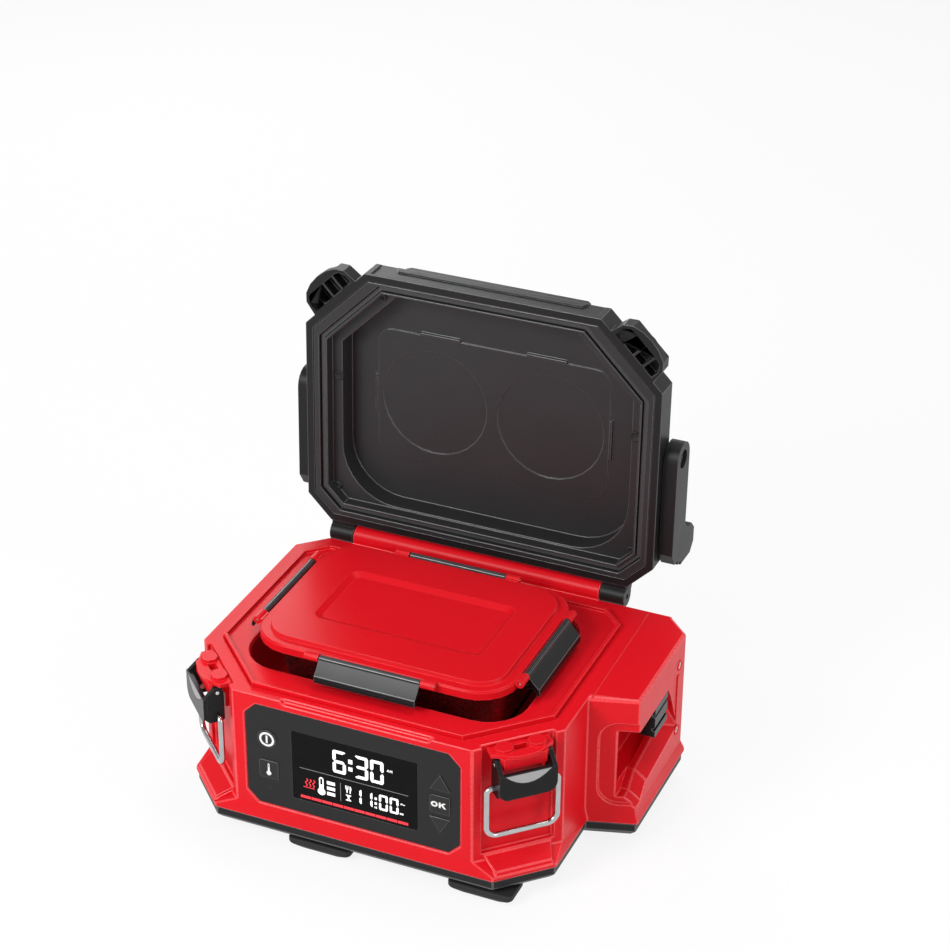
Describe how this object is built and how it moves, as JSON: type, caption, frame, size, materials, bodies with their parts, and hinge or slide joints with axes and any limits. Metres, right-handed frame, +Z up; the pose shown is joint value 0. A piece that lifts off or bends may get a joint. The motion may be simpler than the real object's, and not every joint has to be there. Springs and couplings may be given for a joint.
{
  "type": "electric lunch box",
  "caption": "Red electric lunch box with a heated well, a lift-out steel container, a hinged black lid with a carry handle, corner latches, a display panel and a battery bay.",
  "frame": {"origin": "on the floor under the middle of the object's box, with the lid open as at rest", "axes": "+Z up, +Y from the display to the hinge, +X to the battery bay"},
  "size_m": [0.3404, 0.287, 0.3625],
  "materials": {
    "red": "satin moulded",
    "black": "satin moulded",
    "matte_black": "fine texture",
    "rubber": "matte",
    "window": "gloss",
    "steel": "brushed",
    "bright_steel": "polished",
    "amber": "satin coating",
    "silver": "metallic paint",
    "board": "solder mask",
    "film": "film",
    "pad": "felt",
    "copper": "plain",
    "seal": "matte"
  },
  "bodies": {
    "body": {"housing": "red", "deck_well": "red", "heating_plate": "amber", "film_heater": "film", "insulation_pad": "pad", "temperature_sensor": "bright_steel", "base_tray": "black", "foot_front_left": "rubber", "foot_front_right": "rubber", "foot_rear_left": "rubber", "foot_rear_right": "rubber", "display_bezel": "matte_black", "display_window": "window", "display_module": "matte_black", "control_board": "board", "latch_bracket_left": "red", "latch_bracket_right": "red", "latch_pin_left": "bright_steel", "latch_pin_right": "bright_steel", "terminal_block": "matte_black", "contact_blade_1": "copper", "contact_blade_2": "copper", "contact_blade_3": "copper", "hinge_pin": "bright_steel"},
    "lid": {"lid_shell": "black", "lid_liner": "matte_black", "lid_gasket": "seal", "handle_pivot_left": "bright_steel", "handle_pivot_right": "bright_steel"},
    "handle": {"carry_handle": "black"},
    "lever_left": {"latch_lever_left": "black", "latch_inlay_left": "silver"},
    "lever_right": {"latch_lever_right": "black", "latch_inlay_right": "silver"},
    "bail_left": {"latch_bail_left": "bright_steel"},
    "bail_right": {"latch_bail_right": "bright_steel"},
    "power_key": {"power_button": "matte_black"},
    "temperature_key": {"temperature_button": "matte_black"},
    "up_key": {"up_button": "matte_black"},
    "ok_key": {"ok_button": "matte_black"},
    "down_key": {"down_button": "matte_black"},
    "container": {"container_tub": "steel"},
    "cover": {"container_cover": "red", "container_seal": "seal", "clamp_pin_front": "bright_steel", "clamp_pin_right": "bright_steel", "clamp_pin_rear": "bright_steel", "clamp_pin_left": "bright_steel"},
    "front_clamp": {"clamp_front": "black"},
    "right_clamp": {"clamp_right": "black"},
    "rear_clamp": {"clamp_rear": "black"},
    "left_clamp": {"clamp_left": "black"}
  },
  "joints": [
    {"name": "lid_hinge", "type": "hinge", "parent": "body", "child": "lid", "pos_m": [-0.01325, 0.0881, 0.1345], "axis": [-1, 0, 0], "range_deg": [-91.5, 0]},
    {"name": "handle_fold", "type": "hinge", "parent": "lid", "child": "handle", "pos_m": [-0.01325, 0.10946, 0.25098], "axis": [1, 0, 0], "range_deg": [0, 95]},
    {"name": "container_lift", "type": "slide", "parent": "body", "child": "container", "axis": [0, 0, 1], "range_m": [0, 0.108]},
    {"name": "cover_lift", "type": "slide", "parent": "container", "child": "cover", "axis": [0, 0, 1], "range_m": [0, 0.06]},
    {"name": "front_clamp_hinge", "type": "hinge", "parent": "cover", "child": "front_clamp", "pos_m": [-0.01325, -0.1064, 0.1515], "axis": [-1, 0, 0], "range_deg": [-35, 75]},
    {"name": "right_clamp_hinge", "type": "hinge", "parent": "cover", "child": "right_clamp", "pos_m": [0.09175, -0.0279, 0.1515], "axis": [0, -1, 0], "range_deg": [-35, 75]},
    {"name": "rear_clamp_hinge", "type": "hinge", "parent": "cover", "child": "rear_clamp", "pos_m": [-0.01325, 0.0506, 0.1515], "axis": [1, 0, 0], "range_deg": [-20, 75]},
    {"name": "left_clamp_hinge", "type": "hinge", "parent": "cover", "child": "left_clamp", "pos_m": [-0.11825, -0.0279, 0.1515], "axis": [0, 1, 0], "range_deg": [-35, 75]},
    {"name": "lever_left_hinge", "type": "hinge", "parent": "body", "child": "lever_left", "pos_m": [-0.1382, -0.11985, 0.12], "axis": [-0.7071, 0.7071, 0], "range_deg": [0, 55]},
    {"name": "bail_left_hinge", "type": "hinge", "parent": "lever_left", "child": "bail_left", "pos_m": [-0.1382, -0.11985, 0.1], "axis": [0.7071, -0.7071, 0], "range_deg": [-161.7, 0]},
    {"name": "lever_right_hinge", "type": "hinge", "parent": "body", "child": "lever_right", "pos_m": [0.1117, -0.11985, 0.12], "axis": [-0.7071, -0.7071, 0], "range_deg": [0, 55]},
    {"name": "bail_right_hinge", "type": "hinge", "parent": "lever_right", "child": "bail_right", "pos_m": [0.1117, -0.11985, 0.1], "axis": [0.7071, 0.7071, 0], "range_deg": [-161.7, 0]},
    {"name": "power_press", "type": "slide", "parent": "body", "child": "power_key", "axis": [0, 1, 0], "range_m": [0, 0.0012], "stiffness_N_per_m": 300},
    {"name": "temperature_press", "type": "slide", "parent": "body", "child": "temperature_key", "axis": [0, 1, 0], "range_m": [0, 0.0012], "stiffness_N_per_m": 300},
    {"name": "up_press", "type": "slide", "parent": "body", "child": "up_key", "axis": [0, 1, 0], "range_m": [0, 0.0012], "stiffness_N_per_m": 300},
    {"name": "ok_press", "type": "slide", "parent": "body", "child": "ok_key", "axis": [0, 1, 0], "range_m": [0, 0.0012], "stiffness_N_per_m": 300},
    {"name": "down_press", "type": "slide", "parent": "body", "child": "down_key", "axis": [0, 1, 0], "range_m": [0, 0.0012], "stiffness_N_per_m": 300}
  ]
}
